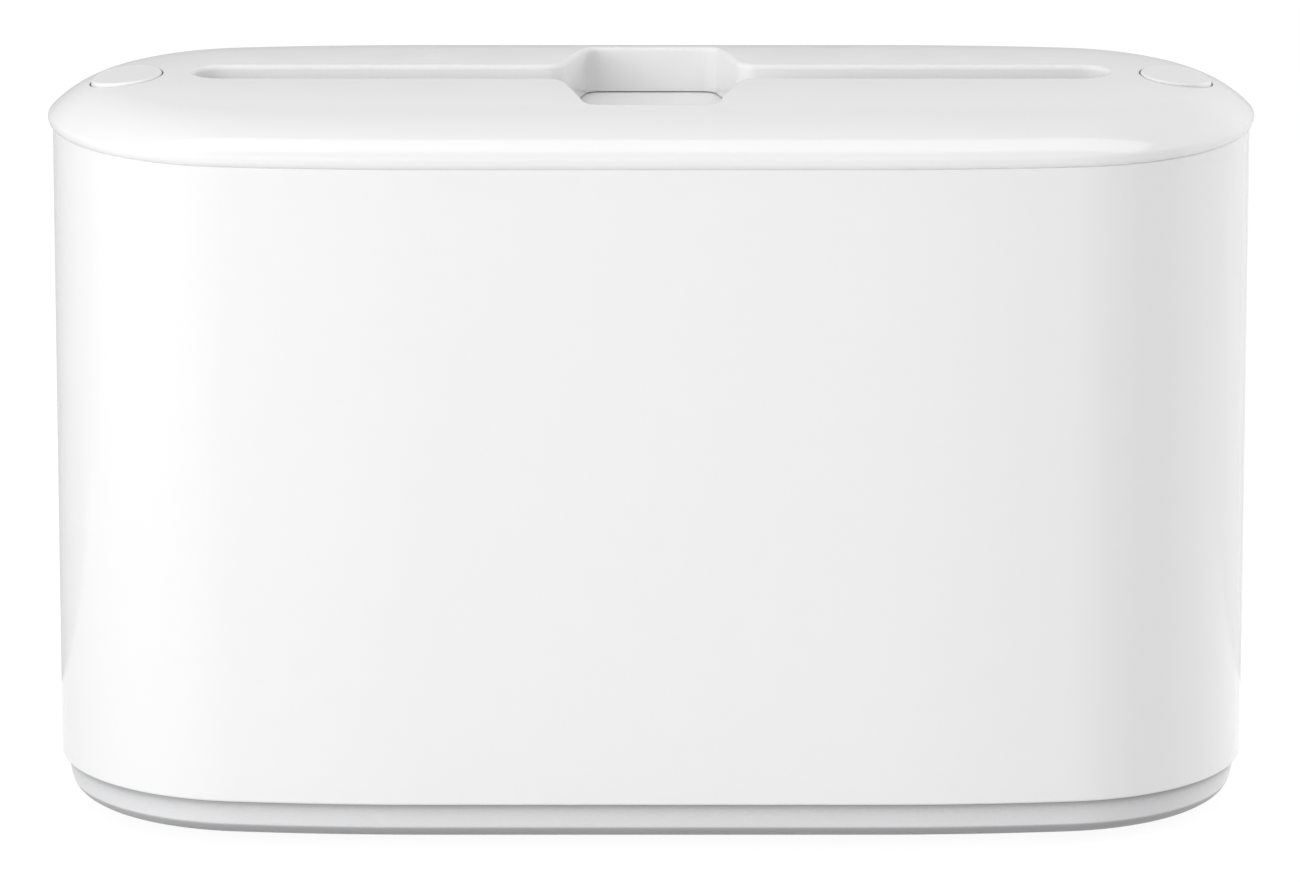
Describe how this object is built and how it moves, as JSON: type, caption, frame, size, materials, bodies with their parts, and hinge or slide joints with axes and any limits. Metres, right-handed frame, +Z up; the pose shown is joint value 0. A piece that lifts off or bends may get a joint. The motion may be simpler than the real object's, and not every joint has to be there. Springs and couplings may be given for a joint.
{
  "type": "countertop paper towel dispenser",
  "caption": "Pill-shaped countertop dispenser for folded paper towels, with a domed slotted lid, end release buttons and a spring-lifted platform inside.",
  "frame": {"origin": "middle of the footprint, on the counter under the feet", "axes": "+X along the long side, -Y to the front, +Z up"},
  "size_m": [0.322, 0.116, 0.2006],
  "materials": {
    "gloss_white": "gloss white moulding",
    "base_grey": "satin light grey moulding",
    "platform_white": "satin white moulding",
    "inner_grey": "plain grey moulding",
    "natural_acetal": "natural low-friction plastic",
    "spring_steel": "rolled spring strip",
    "pin_steel": "ground steel pin",
    "screw_steel": "zinc-plated steel",
    "foot_rubber": "soft non-slip rubber"
  },
  "bodies": {
    "housing": {"body_shell": "gloss_white", "base_plinth": "base_grey", "base_screws": "screw_steel", "rubber_feet": "foot_rubber", "guide_rail_left": "inner_grey", "guide_rail_right": "inner_grey", "rail_screws": "screw_steel", "ribbon_screws": "screw_steel", "ribbon_strip_left": "spring_steel", "ribbon_strip_right": "spring_steel"},
    "lid": {"lid_cover": "gloss_white", "latch_bracket_left": "inner_grey", "latch_bracket_right": "inner_grey", "bracket_screws": "screw_steel", "latch_pin_left": "pin_steel", "latch_pin_right": "pin_steel", "button_spring_left": "spring_steel", "button_spring_right": "spring_steel"},
    "platform": {"lift_platform": "platform_white", "platform_carrier_left": "natural_acetal", "platform_carrier_right": "natural_acetal", "carrier_screws": "screw_steel", "spool_spindle_left": "pin_steel", "spool_spindle_right": "pin_steel"},
    "button_left": {"release_button_left": "gloss_white"},
    "latch_left": {"latch_lever_left": "natural_acetal"},
    "spool_left": {"ribbon_spool_left": "natural_acetal", "ribbon_coil_left": "spring_steel"},
    "button_right": {"release_button_right": "gloss_white"},
    "latch_right": {"latch_lever_right": "natural_acetal"},
    "spool_right": {"ribbon_spool_right": "natural_acetal", "ribbon_coil_right": "spring_steel"}
  },
  "joints": [
    {"name": "lid_lift", "type": "slide", "parent": "housing", "child": "lid", "axis": [0, 0, 1], "range_m": [0, 0.08]},
    {"name": "platform_lift", "type": "slide", "parent": "housing", "child": "platform", "axis": [0, 0, 1], "range_m": [-0.145, 0], "stiffness_N_per_m": 20, "springref_m": 0.45, "deforming": ["ribbon_strip_left", "ribbon_strip_right"]},
    {"name": "button_left_press", "type": "slide", "parent": "lid", "child": "button_left", "axis": [0, 0, -1], "range_m": [0, 0.0026], "stiffness_N_per_m": 1500, "springref_m": -0.001, "deforming": ["button_spring_left"]},
    {"name": "latch_left_turn", "type": "hinge", "parent": "lid", "child": "latch_left", "pos_m": [-0.1365, 0, 0.1762], "axis": [0, -1, 0], "range_deg": [0, 15]},
    {"name": "spool_left_turn", "type": "hinge", "parent": "platform", "child": "spool_left", "pos_m": [-0.1137, 0, 0.17153], "axis": [0, -1, 0], "range_deg": [-820, 0]},
    {"name": "button_right_press", "type": "slide", "parent": "lid", "child": "button_right", "axis": [0, 0, -1], "range_m": [0, 0.0026], "stiffness_N_per_m": 1500, "springref_m": -0.001, "deforming": ["button_spring_right"]},
    {"name": "latch_right_turn", "type": "hinge", "parent": "lid", "child": "latch_right", "pos_m": [0.1365, 0, 0.1762], "axis": [0, 1, 0], "range_deg": [0, 15]},
    {"name": "spool_right_turn", "type": "hinge", "parent": "platform", "child": "spool_right", "pos_m": [0.1137, 0, 0.17153], "axis": [0, 1, 0], "range_deg": [-820, 0]}
  ],
  "couplings": [
    {"joint": "latch_left_turn", "follows": "button_left_press", "rad_per_m": 96.154},
    {"joint": "spool_left_turn", "follows": "platform_lift", "rad_per_m": 98.039},
    {"joint": "latch_right_turn", "follows": "button_right_press", "rad_per_m": 96.154},
    {"joint": "spool_right_turn", "follows": "platform_lift", "rad_per_m": 98.039}
  ]
}
